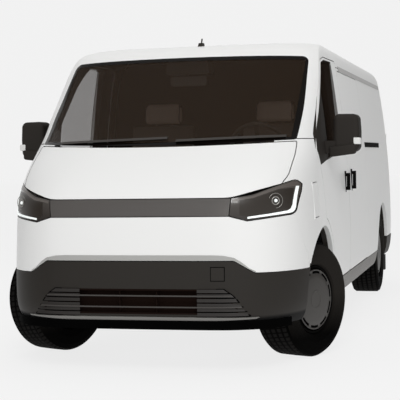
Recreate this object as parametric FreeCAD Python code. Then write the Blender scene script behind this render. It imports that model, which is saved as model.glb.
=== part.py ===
import FreeCAD, Part
import math
import os

os.makedirs("parts", exist_ok=True)
V = FreeCAD.Vector

# Panel van with an electric drive, in millimetres. X runs to the left side of the van,
# Z up from the ground and Y to the rear, measured from the front axle. Every shape is
# moved at the end, so that the origin lies on the ground under the middle of the van.

# wheels, steering and axles
wheelbase = 3570.0
half_track = 810.0
tyre_radius = 352.5
tyre_width = 245.0
rim_radius = 206.0
rim_width = 176.0
bead_radius = 197.0
bead_gap = 0.8
cover_radius = 172.0
cover_slots = 12
brake_radius = 118.0
hub_face = -2.0
steer_x = 760.0
parked_steer = -24.0
arch_radius = 405.0
arch_lift = 45.0
arch_lip = 55.0

# body
body_half_width = 957.0
nose_end = -846.2
tail_end = 4475.0
wall = 60.0
roof_wall = 36.0
gap = 5.0
door_gap = 6.0
swing_gap = 9.0
seat_gap = 0.3
frame_depth = 22.0
tail_corner = 90.0

# heights of the main seams
sill_bottom = 285.0
sill_seam = 405.0
bumper_bottom = 274.0
bumper_top = 655.0
bumper_shoulder = 580.0
band_bottom = 907.0
band_top = 1004.0
belt_height = 1235.0
pillar_seam = 1345.0
roof_seam = 1868.0
roof_top = 2036.0
rail_seam = 1838.0
floor_top = 540.0
floor_thickness = 40.0
board_top = 546.0
board_half_width = 600.0

# doors, along the van
door_front = -42.0
door_rear = 1255.0
slide_rear = 2430.0
rear_door_bottom = 480.0
rear_door_top = 1850.0
rear_door_side = 880.0
rear_door_side_top = 800.0

# forms of the body: height, half width, nose, depth of the rounded front, tail, and the
# power of the curve round the front corners
body_levels = [
    (270.0, 905.0, -800.0, 745.0, 4390.0, 4.96),
    (330.0, 935.0, -845.0, 755.0, 4400.0, 4.96),
    (450.0, 952.0, -846.0, 785.0, 4405.0, 4.96),
    (600.0, 957.0, -842.0, 810.0, 4408.0, 4.96),
    (750.0, 957.0, -834.0, 830.0, 4408.0, 4.96),
    (880.0, 954.0, -828.0, 835.0, 4406.0, 4.96),
    (960.0, 951.0, -822.0, 845.0, 4405.0, 4.96),
    (1005.0, 949.0, -808.0, 840.0, 4404.0, 4.92),
    (1050.0, 947.0, -778.0, 820.0, 4403.0, 4.8),
    (1110.0, 944.0, -722.0, 785.0, 4402.0, 4.57),
    (1200.0, 938.0, -603.0, 675.0, 4400.0, 4.12),
    (1300.0, 930.0, -440.0, 570.0, 4398.0, 3.52),
    (1400.0, 921.0, -287.0, 505.0, 4394.0, 3.31),
    (1500.0, 911.0, -148.0, 420.0, 4389.0, 3.31),
    (1600.0, 900.0, -14.0, 365.0, 4383.0, 3.31),
    (1700.0, 887.0, 119.0, 305.0, 4375.0, 3.52),
    (1800.0, 873.0, 250.0, 250.0, 4365.0, 3.94),
    (1880.0, 860.0, 357.0, 220.0, 4352.0, 4.5),
    (1935.0, 847.0, 448.0, 210.0, 4338.0, 5.2),
    (1975.0, 826.0, 560.0, 225.0, 4315.0, 5.2),
    (2005.0, 795.0, 730.0, 255.0, 4275.0, 5.2),
    (2024.0, 752.0, 960.0, 295.0, 4210.0, 5.2),
    (2036.0, 680.0, 1280.0, 325.0, 4110.0, 5.2),
    (2043.0, 560.0, 1650.0, 300.0, 3960.0, 5.2),
    (2048.0, 380.0, 2000.0, 220.0, 3700.0, 5.2),
]
plan_angles = [90, 76, 62, 50, 38, 27, 17, 8, 0]
roof_blend_start = 1700.0
roof_blend_end = 1930.0

# openings, mirrors and cab
pocket_depth = 42.0
flap_thickness = 5.0
mirror_inner = 978.0
mirror_outer = 1146.0
mirror_y = 320.0
sail_rear = 345.0
steering_x = 425.0
steering_y = 640.0
steering_z = 1300.0
steering_tilt = 35.0
steering_radius = 188.0
seat_x = 420.0
liner_inner = 401.0
bulkhead_y = 1360.0

# hinges, across and along the van
door_hinge = (946.0, 118.0)
bonnet_hinge = (-148.0, 1318.0)
board_end = 764.0
bonnet_room_half = 840.0
bonnet_edge_inset = 2.0
bonnet_room_bottom = 1150.0
bonnet_room_top = 1400.0
corner_relief = 0.15
corner_relief_start = 780.0
arm_inner = 795.0
arm_outer = 814.0
arm_half_width = 8.0
arm_length = 78.0
arm_slope = 49.0
rear_hinge = (905.0, 4425.0)
rear_hinge_heights = (600.0, 1400.0)
pin_radius = 6.0

middle = (nose_end + tail_end) / 2
far = 3000.0
SIDE, FRONT, TOP = 0, 1, 2


# a closed outline in one of the three views; each corner is (across, up, radius)
def place(view, a, b, depth=0.0):
    if view == SIDE:
        return V(depth, a, b)
    if view == FRONT:
        return V(a, depth, b)
    return V(a, b, depth)


def outline(view, corners, depth=0.0):
    points = [place(view, c[0], c[1], depth) for c in corners]
    radii = [c[2] if len(c) > 2 else 0.0 for c in corners]
    starts, ends, arcs = [], [], []
    count = len(points)
    for i in range(count):
        here = points[i]
        back = (points[i - 1] - here).normalize()
        ahead = (points[(i + 1) % count] - here).normalize()
        radius = radii[i]
        if radius <= 0:
            starts.append(here)
            ends.append(here)
            arcs.append(None)
            continue
        half = back.getAngle(ahead) / 2
        reach = radius / math.tan(half)
        bisector = (back + ahead).normalize()
        near = here + bisector * (radius / math.sin(half) - radius)
        starts.append(here + back * reach)
        ends.append(here + ahead * reach)
        arcs.append(near)
    edges = []
    for i in range(count):
        if arcs[i] is not None:
            edges.append(Part.Arc(starts[i], arcs[i], ends[i]).toShape())
        after = starts[(i + 1) % count]
        if ends[i].distanceToPoint(after) > 0.001:
            edges.append(Part.makeLine(ends[i], after))
    return Part.Face(Part.Wire(edges))


def prism(view, corners, low, high, grow=0.0):
    face = outline(view, corners, low)
    if grow:
        face = face.makeOffset2D(grow)
    return face.extrude(place(view, 0, 0, high - low))


def block(x0, x1, y0, y1, z0, z1):
    return Part.makeBox(x1 - x0, y1 - y0, z1 - z0, V(x0, y0, z0))


def rod(start, end, radius):
    path = V(*end) - V(*start)
    return Part.makeCylinder(radius, path.Length, V(*start), path)


def ring(centre, axis, outer_radius, inner_radius, length):
    start = V(*centre) - V(*axis) * (length / 2)
    tube = Part.makeCylinder(outer_radius, length, start, V(*axis))
    return tube.cut(Part.makeCylinder(inner_radius, length, start, V(*axis)))


def disc(centre, axis, radius, length):
    start = V(*centre) - V(*axis) * (length / 2)
    return Part.makeCylinder(radius, length, start, V(*axis))


def mirrored(shape):
    return shape.mirror(V(0, 0, 0), V(1, 0, 0))


def both(shape):
    return [shape, mirrored(shape)]


def joined(shapes):
    result = shapes[0].fuse(shapes[1:]) if len(shapes) > 1 else shapes[0]
    return result.removeSplitter()


def clean(shape, smallest=2000.0):
    solids = [s for s in shape.Solids if s.Volume > smallest]
    return Part.makeCompound(solids) if len(solids) > 1 else solids[0]


# a spline runs close to its control points once these are moved out by the bend
def sharpened(points, first, last):
    result = list(points)
    for i in range(first, last):
        bend = points[i - 1] - points[i] * 2 + points[i + 1]
        result[i] = points[i] - bend * (1 / 6)
    return result


def clamped(count):
    knots = [float(i) for i in range(count - 2)]
    return knots, [4] + [1] * (count - 4) + [4]


def body_loop(half_width, nose, depth, tail, power, height):
    r = min(tail_corner, half_width * 0.4)
    front_start = nose + depth
    side_end = tail - 1.3 * r
    plan = [(0, tail), (half_width * 0.5, tail), (half_width - 1.3 * r, tail)]
    plan += [(half_width - 0.45 * r, tail), (half_width, tail - 0.45 * r), (half_width, side_end)]
    plan += [(half_width, side_end + (front_start - side_end) * s) for s in (0.35, 0.7, 0.9)]
    first = len(plan)
    for angle in plan_angles:
        turn = math.radians(angle)
        across = half_width * math.sin(turn) ** (2 / power)
        plan.append((across, nose + depth * (1 - math.cos(turn))))
    points = [V(x, y, height) for x, y in plan]
    points += [V(-p.x, p.y, height) for p in points[-2::-1]]
    return sharpened(points, first, len(points) - first)


def body_form(inset, roof_inset):
    rows = []
    for height, half_width, nose, depth, tail, power in body_levels:
        share = (height - roof_blend_start) / (roof_blend_end - roof_blend_start)
        drop = roof_inset * min(1.0, max(0.0, share))
        rows.append(body_loop(half_width - inset, nose + inset, depth, tail - inset, power, height - drop))
    columns = [sharpened(list(c), 1, len(rows) - 1) for c in zip(*rows)]
    u_knots, u_mults = clamped(len(columns))
    v_knots, v_mults = clamped(len(rows))
    form = Part.BSplineSurface()
    form.buildFromPolesMultsKnots(columns, u_mults, v_mults, u_knots, v_knots, False, False, 3, 3)
    rims = [Part.Face(Part.Wire(form.vIso(v).toShape())) for v in (v_knots[0], v_knots[-1])]
    skin = Part.makeShell([form.toShape()] + rims)
    skin.sewShape()
    return Part.makeSolid(skin)


body = body_form(0, 0)
hollow = body_form(wall, roof_wall)
shell = body.cut(hollow)
lining_room = body_form(wall + seat_gap, roof_wall + seat_gap)
lining = lining_room.cut(body_form(wall + frame_depth, roof_wall + frame_depth))
trim_room = body_form(wall + frame_depth + 2, roof_wall + frame_depth + 2)


def level(height):
    rows = body_levels
    for low, high in zip(rows, rows[1:]):
        if height <= high[0]:
            s = (height - low[0]) / (high[0] - low[0])
            return [a + (b - a) * s for a, b in zip(low, high)]
    return rows[-1]


def side_x(height):
    return level(height)[1]


def nose_y(x, height):
    row = level(height)
    turn = math.asin(min(1.0, (abs(x) / row[1]) ** (row[5] / 2)))
    return row[2] + row[3] * (1 - math.cos(turn))


def skin_x(y, height):
    row = level(height)
    forward = 1 - (y - row[2]) / row[3]
    if forward <= 0:
        return row[1]
    return row[1] * math.sqrt(1 - forward ** 2) ** (2 / row[5])


def tail_y(height):
    return level(height)[4]


# outlines seen from the front
windscreen_outline = [
    (-816, 1337, 14), (0, 1298, 16000), (816, 1337, 14), (823, 1540, 1200),
    (801, 1887, 45), (0, 1914, 20000), (-801, 1887, 45), (-823, 1540, 1200),
]
bonnet_outline = [
    (-790, 1080, 12), (-541, 1009, 300), (541, 1009, 300), (790, 1080, 12), (815, 1130, 80), (825, 1250, 300),
    (818, 1325, 10), (0, 1285, 16000), (-818, 1325, 10), (-825, 1250, 300), (-815, 1130, 80),
]
band_outline = [(-541, band_top, 6), (541, band_top, 6), (531, band_bottom, 6), (-531, band_bottom, 6)]
lamp_outline = [
    (546, band_top, 6), (660, 1022, 200), (788, 1074, 90), (854, 1099, 24), (880, 1072, 16), (880, 1030, 60),
    (862, 906, 30), (632, 878, 25), (536, band_bottom, 4),
]
front_panel_outline = [
    (-531, band_bottom - gap), (531, band_bottom - gap), (632, 873), (865, 901, 10),
    (918, 630), (918, bumper_shoulder), (673, bumper_shoulder + gap, 40), (560, bumper_top, 40),
    (-560, bumper_top, 40), (-673, bumper_shoulder + gap, 40), (-918, bumper_shoulder), (-918, 630),
    (-865, 901, 10), (-632, 873),
]
bumper_outline = [
    (-far, bumper_bottom), (far, bumper_bottom), (far, bumper_shoulder - 5),
    (673, bumper_shoulder, 40), (560, bumper_top - gap, 40),
    (-560, bumper_top - gap, 40), (-673, bumper_shoulder, 40), (-far, bumper_shoulder - 5),
]
grille_outline = [(-606, 350, 22), (606, 350, 22), (486, 494, 45), (-486, 494, 45)]


# outlines seen from the side
front_door_outline = [
    (door_front, 1275, 25), (-4, 1170, 60), (56, 1040, 100), (118, 800), (118, sill_seam + gap),
    (door_rear, sill_seam + gap, 35), (door_rear, 1903, 35), (676, 1893, 100), (526, 1865, 60), (16, 1366, 30),
]
window_outline = [
    (-30, 1272, 20), (6, 1178, 14), (233, 1204), (761, 1243), (1035, 1256, 35), (1045, 1888, 35),
    (681, 1878, 100), (539, 1852, 60), (28, 1353, 30),
]
slide_outline = [
    (door_rear + swing_gap, sill_seam + gap, 35), (slide_rear, sill_seam + gap, 35),
    (slide_rear, rail_seam, 60), (door_rear + swing_gap, rail_seam, 60),
]
flap_outline = [(-248, 866, 20), (-146, 872, 20), (-142, 1076, 20), (-239, 1070, 20)]
rear_outline = [
    (-rear_door_side, rear_door_bottom, 40), (rear_door_side, rear_door_bottom, 40),
    (rear_door_side_top, rear_door_top, 60), (-rear_door_side_top, rear_door_top, 60),
]


def arch(centre_y, radius, x0=-far, x1=far):
    return disc(((x0 + x1) / 2, centre_y, tyre_radius + arch_lift), (1, 0, 0), radius, x1 - x0)


windscreen_prism = prism(FRONT, windscreen_outline, nose_end - 50, 700)
windscreen_cut = prism(FRONT, windscreen_outline, nose_end - 50, 700, seat_gap)
bonnet_prism = prism(FRONT, bonnet_outline, nose_end - 50, 120)
bonnet_cut = prism(FRONT, bonnet_outline, nose_end - 50, 120, gap)
lamp_prism = prism(FRONT, lamp_outline, nose_end - 50, -300)
lamp_cut = prism(FRONT, lamp_outline, nose_end - 50, -300, gap)
band_prism = prism(FRONT, band_outline, nose_end - 50, -300)
front_arches = arch(0, arch_radius)
rear_arches = arch(wheelbase, arch_radius)
front_door_prism = prism(SIDE, front_door_outline, 500, 1100).cut(arch(0, arch_radius + arch_lip))
front_door_cut = prism(SIDE, front_door_outline, 500, 1100, door_gap).cut(arch(0, arch_radius + arch_lip - door_gap))
slide_prism = prism(SIDE, slide_outline, 500, 1100)
slide_cut = prism(SIDE, slide_outline, 500, 1100, gap)
rear_cut = prism(FRONT, rear_outline, tail_end - 400, tail_end + 100, gap)


def make_roof():
    zone = joined([
        block(-far, far, -far, 2 * far, roof_seam, 2200),
        block(-far, far, -400, door_rear - 100, pillar_seam, roof_seam),
    ])
    roof = shell.common(zone).cut(windscreen_cut).cut(bonnet_cut)
    return clean(roof.cut(front_door_cut).cut(mirrored(front_door_cut)))


def make_windscreen():
    glass = body.common(windscreen_prism)
    inside = body.copy()
    inside.translate(V(0, 4, -6))
    return clean(glass.cut(inside))


def bonnet_rear_height(x):
    side, corner = bonnet_outline[6], bonnet_outline[7]
    radius = corner[2]
    slope = math.atan2(side[1] - corner[1], side[0])
    return corner[1] + radius / math.cos(slope) - math.sqrt(radius ** 2 - x ** 2)


# the bonnet's rear edge falls straight down, so that it rises clear of the windscreen above it
def make_bonnet_room():
    half = bonnet_room_half
    count = 36
    edge = []
    for i in range(count + 1):
        x = half - 2 * half * i / count
        relief = corner_relief * max(0.0, abs(x) - corner_relief_start)
        edge.append((x, nose_y(x, bonnet_rear_height(x)) + bonnet_edge_inset - relief))
    return prism(TOP, [(-half, 0), (half, 0)] + edge, bonnet_room_bottom, bonnet_room_top)


def make_bonnet():
    panel = clean(shell.common(bonnet_prism).cut(make_bonnet_room()))
    y, z = bonnet_hinge
    pieces = [panel]
    for side in (1, -1):
        pieces.append(rod((side * arm_inner, y, z), (side * 820.3, y, z), pin_radius))
        pieces.append(rod((side * arm_inner, y, z), (side * arm_outer, y, z), arm_half_width))
        low, high = sorted((side * arm_inner, side * arm_outer))
        arm = block(low, high, -arm_length, 0, -arm_half_width, arm_half_width)
        arm.rotate(V(0, 0, 0), V(1, 0, 0), arm_slope)
        arm.translate(V(0, y, z))
        pieces.append(arm)
    return joined(pieces)


def make_lamps():
    return clean(shell.common(lamp_prism))


def make_band():
    return clean(shell.common(band_prism))


def make_front_panel():
    panel = shell.common(prism(FRONT, front_panel_outline, nose_end - 50, -300))
    return clean(panel.cut(front_arches))


def make_front_bumper():
    zone = prism(FRONT, bumper_outline, nose_end - 50, -250)
    grille = prism(FRONT, grille_outline, nose_end - 50, -400, seat_gap)
    return clean(shell.common(zone).cut(grille).cut(front_arches))


def make_lower_grille():
    zone = body.common(prism(FRONT, grille_outline, nose_end - 50, -700))
    back = moved_body(0, 55, 0)
    frame = zone.cut(prism(FRONT, grille_outline, nose_end - 50, -600, -9))
    bottom = grille_outline[0][1]
    slats = [block(-far, far, nose_end, -700, bottom + 29 * i - 3, bottom + 29 * i + 3) for i in range(1, 5)]
    dividers = [block(x - 4, x + 4, nose_end, -700, bottom, bottom + 160) for x in (-330, -110, 110, 330)]
    lattice = zone.common(Part.makeCompound(slats + dividers)).common(moved_body(0, 10, 0)).cut(moved_body(0, 32, 0))
    return joined([frame.cut(back), lattice])


def make_fender(side):
    zone = prism(SIDE, [
        (-560, 930), (-340, bumper_shoulder), (-250, 300), (468, 300), (468, 600), (140, 900),
        (140, pillar_seam - gap), (-700, pillar_seam - gap),
    ], 700, 1100)
    sided = [zone, lamp_cut, front_door_cut]
    if side < 0:
        sided = [mirrored(shape) for shape in sided]
    fender = shell.common(sided[0]).cut(bonnet_cut).cut(sided[1]).cut(sided[2])
    fender = fender.cut(prism(FRONT, front_panel_outline, nose_end - 50, -300, seat_gap))
    fender = fender.cut(prism(FRONT, bumper_outline, nose_end - 50, -250, gap))
    fender = fender.cut(windscreen_cut).cut(front_arches)
    fender = clean(fender.cut(block(-far, far, 300, far, 0, sill_seam + gap)), 20000.0)
    x, y = door_hinge
    pin = rod((side * x, y, 800), (side * x, y, 900), pin_radius / 2)
    return joined([fender, pin])


def make_fenders():
    left = joined([clean(make_fender(1).cut(flap_pocket())), flap_pin()])
    return Part.makeCompound([left, make_fender(-1)])


def make_side_panel():
    panel = shell.common(block(560, 1100, door_rear + swing_gap, tail_end, sill_seam, roof_seam - gap))
    panel = panel.cut(slide_cut).cut(rear_arches).cut(rear_cut)
    lamp = block(860, far, tail_end - 160, tail_end + 60, 850 - seat_gap, 1330 + gap)
    bumper = block(0, far, wheelbase, far * 2, 0, rear_door_bottom - gap)
    panel = clean(panel.cut(lamp).cut(bumper), 20000.0)
    return joined([panel] + [rear_bracket(z) for z in rear_hinge_heights])


# the body's half and the leaf's half of a rear door hinge
def rear_bracket(z):
    x, y = rear_hinge
    width, tail = side_x(z), tail_y(z)
    arm = prism(TOP, [(x - 5, y - 7), (width - 35, tail - 45), (width - 5, tail - 75), (x + 9, y)], z - 30, z - 0.3)
    return joined([arm, rod((x, y, z - 30), (x, y, z - 0.3), 9)])


def rear_leaf_arm(z):
    x, y = rear_hinge
    tail = tail_y(z)
    share = (z - rear_door_bottom) / (rear_door_top - rear_door_bottom)
    edge = rear_door_side + (rear_door_side_top - rear_door_side) * share
    arm = prism(TOP, [
        (edge - 45, tail - 8), (edge - 8, tail - 8), (edge - 2, tail + 6), (x, tail + 6), (x, y + 9),
        (edge - 45, tail + 12)], z, z + 30)
    return joined([arm, rod((x, y, z), (x, y, z + 30), 9)])


def make_tail_lamp():
    zone = block(860, far, tail_end - 155, tail_end + 60, 850, 1330)
    return clean(shell.common(zone).cut(rear_cut))


def make_rear_bumper():
    zone = block(-far, far, wheelbase + 200, tail_end + 100, 300, rear_door_bottom - 2 * gap)
    lower = body.copy()
    lower.translate(V(0, tail_end - tail_y(rear_door_bottom - 2 * gap), 0))
    thick = lower.common(zone).cut(hollow)
    return clean(thick.cut(rear_arches))


def make_front_door():
    door = shell.common(front_door_prism).cut(prism(SIDE, window_outline, 500, 1100))
    x, y = door_hinge
    hole = rod((x, y, 800), (x, y, 900 + seat_gap), pin_radius / 2 + seat_gap)
    bevel = prism(TOP, [(500, door_rear - 60), (960, door_rear + 9), (960, door_rear + 60), (500, door_rear + 60)], 0, far)
    return clean(door.cut(hole).cut(bevel))


def make_door_glass():
    glass = body.common(prism(SIDE, window_outline, 500, 1100, -seat_gap))
    glass = glass.cut(block(0, far, -far, sail_rear, 0, far))
    inside = body.copy()
    inside.translate(V(-5, 0, 0))
    outside = body.copy()
    outside.translate(V(-2, 0, 0))
    return clean(glass.common(outside).cut(inside))


def make_slide_door():
    return clean(shell.common(slide_prism))


def make_rear_door():
    leaf = [
        (gap, rear_door_bottom, 0), (rear_door_side, rear_door_bottom, 40),
        (rear_door_side_top, rear_door_top, 60), (gap, rear_door_top, 0),
    ]
    door = clean(shell.common(prism(FRONT, leaf, tail_end - 400, tail_end + 100)))
    return joined([door] + [rear_leaf_arm(z) for z in rear_hinge_heights])


def make_sill():
    zone = block(800, 1100, 440, wheelbase - arch_radius + 60, sill_bottom, sill_seam - gap)
    return clean(shell.common(zone).cut(front_arches).cut(rear_arches))


def make_floor():
    main = block(-888, 888, 520, tail_end - 145, floor_top - floor_thickness, floor_top)
    cab_side = liner_inner - seat_gap
    cab = block(-cab_side, cab_side, -250, 520, floor_top - floor_thickness, floor_top)
    well = prism(SIDE, [
        (wheelbase - 490, floor_top - 30), (wheelbase + 490, floor_top - 30),
        (wheelbase + 400, 850, 60), (wheelbase - 400, 850, 60)], 610, 890)
    room = prism(SIDE, [
        (wheelbase - 465, 0), (wheelbase + 465, 0),
        (wheelbase + 375, 825, 50), (wheelbase - 375, 825, 50)], 635, 900)
    board = block(-board_half_width, board_half_width, bulkhead_y + 32, tail_end - 185, floor_top - 1, board_top)
    floor = joined([main, cab, well, mirrored(well)])
    floor = floor.cut(room).cut(mirrored(room)).common(lining_room)
    return joined([floor, board])


def make_liners():
    outer_arc = arch(0, arch_radius - seat_gap, liner_inner, liner_inner + 490)
    inner_arc = arch(0, arch_radius - 12, liner_inner + 12, liner_inner + 500)
    liner = outer_arc.cut(inner_arc).cut(block(0, far, -far, far, 0, tyre_radius + 20))
    return liner.common(hollow)


# wheels
def turned(profile):
    whole = profile.revolve(V(0, 0, 0), V(1, 0, 0), 360)
    whole.rotate(V(0, 0, 0), V(1, 0, 0), -90)
    return whole


def make_tyre():
    bead = rim_width / 2 - bead_gap
    half = tyre_width / 2
    outside = [
        (bead, bead_radius + bead_gap), (bead, rim_radius + 4), (half - 14, rim_radius + 12),
        (half - 1.5, rim_radius + 56),
        (half - 1.5, tyre_radius - 42), (half - 12, tyre_radius - 14), (half - 30, tyre_radius - 1),
    ]
    inside = [(bead - 8, bead_radius + bead_gap), (half - 30, rim_radius + 40), (half - 34, tyre_radius - 22)]
    half_section = [(0, tyre_radius)] + outside[::-1] + inside + [(0, tyre_radius - 20)]
    section = half_section + [(-c[0], c[1]) for c in half_section[-2:0:-1]]
    return turned(outline(TOP, section))


def make_rim():
    half = rim_width / 2
    lip = rim_radius + 2
    seat = bead_radius
    well = bead_radius - 15
    sheet = 8
    half_hoop = [
        (0, well), (47, well), (62, seat), (half, seat), (half, lip), (half + 10, lip), (half + 10, seat),
        (half - 4, seat - sheet), (60, seat - sheet), (46, well - sheet), (0, well - sheet),
    ]
    hoop = outline(TOP, half_hoop + [(-c[0], c[1]) for c in half_hoop[-2:0:-1]])
    dish = outline(TOP, [
        (hub_face, 0), (hub_face, 66), (20, 92), (24, well - 5), (36, well - 5), (34, 88),
        (hub_face + 12, 60), (hub_face + 12, 0)])
    cover = outline(TOP, [
        (74, 0), (76, 60), (88, 70), (84, cover_radius - 22, 160), (70, cover_radius),
        (64, cover_radius), (78, cover_radius - 24, 160), (80, 72), (70, 54), (68, 0)])
    disc_cover = turned(cover)
    for i in range(cover_slots):
        slot = block(60, 100, -9, 9, cover_radius - 30, cover_radius - 10)
        slot.rotate(V(0, 0, 0), V(1, 0, 0), 360 / cover_slots * i)
        disc_cover = disc_cover.cut(slot)
    stem = disc((38, 0, 0), (1, 0, 0), 50, 64)
    return joined([turned(hoop), turned(dish), disc_cover, stem])


def at(shape, x, y, z):
    copy = shape.copy()
    copy.translate(V(x, y, z))
    return copy


def steered(shape, side):
    copy = shape.copy()
    copy.rotate(V(side * steer_x, 0, 0), V(0, 0, 1), parked_steer)
    return copy


def make_knuckle():
    face = half_track + hub_face - seat_gap
    hub = disc(((face + 645) / 2, 0, tyre_radius), (1, 0, 0), 48, face - 645)
    brake = disc((735, 0, tyre_radius), (1, 0, 0), brake_radius, 24)
    upright = prism(FRONT, [
        (690, tyre_radius - 120, 12), (722, tyre_radius - 120, 12), (722, tyre_radius + 110, 12),
        (690, tyre_radius + 110, 12)], -45, 45)
    pin = rod((steer_x, 0, 228 + seat_gap), (steer_x, 0, 460), 16)
    arm = prism(TOP, [(676, 30, 8), (722, 30, 8), (716, 140, 12), (684, 140, 12)], 285, 310)
    top = block(700, steer_x, -16, 16, 430, 460)
    foot = block(700, steer_x, -16, 16, 232, 262)
    return joined([hub, brake, upright, pin, arm, top, foot])


def moved_body(x, y, z):
    copy = body.copy()
    copy.translate(V(x, y, z))
    return copy


def flap_pocket():
    room = body.common(prism(SIDE, flap_outline, 700, 1100, gap))
    return room.cut(moved_body(-pocket_depth, 0, 0))


def flap_hinge():
    low = flap_outline[0]
    high = flap_outline[3]
    return [V(skin_x(y - 3.5, z) + 1, y - 3.5, z) for y, z in ((low[0], low[1]), (high[0], high[1]))]


def flap_pin():
    low, high = flap_hinge()
    reach = (high - low).normalize() * (gap + 4)
    return rod(tuple(low - reach), tuple(high + reach), 3)


def make_charge_flap():
    flap = body.common(prism(SIDE, flap_outline, 700, 1100))
    return clean(flap.cut(moved_body(-flap_thickness, 0, 0)))


def surface_strip(y0, y1, z0, z1, thickness):
    strip = moved_body(thickness, 0, 0).common(block(500, 1100, y0, y1, z0, z1))
    return clean(strip.cut(moved_body(0.3, 0, 0)))


def make_rails():
    upper = surface_strip(door_rear + 126, tail_end - 290, 1846, 1880, 3.5)
    belt = surface_strip(slide_rear + 26, wheelbase - 34, 1297, 1337, 4)
    return upper, belt


def make_handle(y, z0, z1):
    x = side_x((z0 + z1) / 2)
    grip = prism(TOP, [(x + 12, y - 10, 5), (x + 34, y - 10, 7), (x + 34, y + 10, 7), (x + 12, y + 10, 5)], z0, z1)
    feet = [block(x - 6, x + 24, y - 8, y + 8, z, z + 24) for z in (z0, z1 - 24)]
    plate = block(x - 6, x + 4, y - 17, y + 17, z0 - 14, z1 + 14)
    return joined([grip, plate] + feet).cut(body)


def make_mirror():
    housing = prism(FRONT, [
        (mirror_inner, 1262, 25), (mirror_outer - 4, 1255, 40), (mirror_outer, 1380, 300),
        (mirror_outer - 6, 1497, 38), (mirror_inner + 6, 1500, 38),
    ], mirror_y - 75, mirror_y + 75)
    edges = [e for e in housing.Edges if abs(e.BoundBox.YMin - (mirror_y - 75)) < 0.01 and e.BoundBox.YLength < 1]
    housing = housing.makeFillet(30, edges)
    glass = prism(FRONT, [
        (mirror_inner + 12, 1276, 18), (mirror_outer - 14, 1268, 28),
        (mirror_outer - 16, 1486, 26), (mirror_inner + 14, 1488, 26)], mirror_y + 68, mirror_y + 80)
    arm = prism(FRONT, [
        (895, 1240), (mirror_inner + 20, 1262, 10), (mirror_inner + 20, 1330, 20), (885, 1330)],
        mirror_y - 70, sail_rear - seat_gap)
    sail = moved_body(-1, 0, 0).common(prism(SIDE, window_outline, 500, 1100, -seat_gap))
    sail = sail.cut(moved_body(-30, 0, 0)).cut(block(0, far, sail_rear - seat_gap, far, 0, far))
    return clean(joined([housing.cut(glass), arm, sail]))


def make_wipers():
    blades = []
    front = moved_body(0, -14, 6).cut(moved_body(0, -0.4, 0.2))
    for x0, x1 in ((120, 760), (-640, 60)):
        blades.append(front.common(prism(FRONT, [(x0, 1336), (x1, 1354), (x1, 1368), (x0, 1350)], nose_end, 0)))
    return Part.makeCompound(blades)


def make_seat(x):
    cushion = prism(SIDE, [
        (640, 800, 30), (1130, 800, 30), (1120, 905, 20), (900, 905, 80), (650, 940, 45)], x - 235, x + 235)
    back = prism(SIDE, [
        (1045, 860, 20), (1175, 850, 30), (1300, 1470, 35), (1215, 1475, 30), (1150, 1200, 200)], x - 225, x + 225)
    base = block(x - 190, x + 190, 700, 1080, floor_top + seat_gap, 810)
    rest = prism(SIDE, [
        (1205, 1500, 25), (1290, 1495, 30), (1305, 1625, 28), (1235, 1630, 28)], x - 130, x + 130)
    posts = [rod((x + dx, 1250, 1440), (x + dx, 1255, 1540), 7) for dx in (-60, 60)]
    return joined([cushion, back, base, rest] + posts)


def steering_axis():
    tilt = math.radians(steering_tilt)
    return V(0, math.cos(tilt), math.sin(tilt))


def column_end():
    end = V(steering_x, steering_y, steering_z) - steering_axis() * (20 + seat_gap)
    return (end.x, end.y, end.z)


def make_dashboard():
    board = prism(SIDE, [
        (-150, 1120, 40), (60, 1235, 120), (330, 1262, 90), (420, 1190, 60), (400, 1010, 60),
        (300, 930, 40), (-80, 940, 40)], -board_end, board_end)
    start = V(steering_x, steering_y, steering_z) - steering_axis() * 340
    column = rod((start.x, start.y, start.z), column_end(), 34)
    tower = block(-90, 90, 140, 320, floor_top + seat_gap, 960)
    return joined([board.common(trim_room), column, tower])


def make_steering_wheel():
    centre = V(steering_x, steering_y, steering_z)
    rim = Part.makeTorus(steering_radius, 15, V(0, 0, 0), V(0, 0, 1))
    hub = Part.makeCylinder(55, 42, V(0, 0, -20))
    spokes = [block(-175, 175, -14, 14, -10, 4), block(-14, 14, -175, 0, -10, 4)]
    wheel = joined([rim, hub] + spokes)
    wheel.rotate(V(0, 0, 0), V(1, 0, 0), -(90 - steering_tilt))
    wheel.translate(centre)
    return wheel


def make_bulkhead():
    inset = wall + frame_depth + 4
    heights = [floor_top + seat_gap, 900, 1300, 1600, roof_seam - 40]
    side = [(side_x(z) - inset, z) for z in heights]
    top = roof_top - roof_wall - frame_depth - 14
    side += [(side_x(roof_seam + 90) - inset, roof_seam + 80, 60), (560, top - 12, 120)]
    corners = side + [(-c[0],) + c[1:] for c in side[::-1]]
    return prism(FRONT, corners, bulkhead_y, bulkhead_y + 26).common(trim_room)


def make_battery():
    return prism(TOP, [
        (-560, 760, 40), (560, 760, 40), (560, 2880, 40), (-560, 2880, 40)], 205, floor_top - floor_thickness - 0.3)


def make_drive_unit():
    block_part = prism(SIDE, [
        (-430, 330, 60), (80, 300, 60), (110, 480, 40), (-265, 490, 20), (-280, 700, 60), (-420, 690, 60)], -270, 270)
    shafts = rod((-560, 0, tyre_radius), (560, 0, tyre_radius), 18)
    ears = block(-385, 385, -330, -250, 300 + seat_gap, 350)
    return joined([block_part, shafts, ears])


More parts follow.
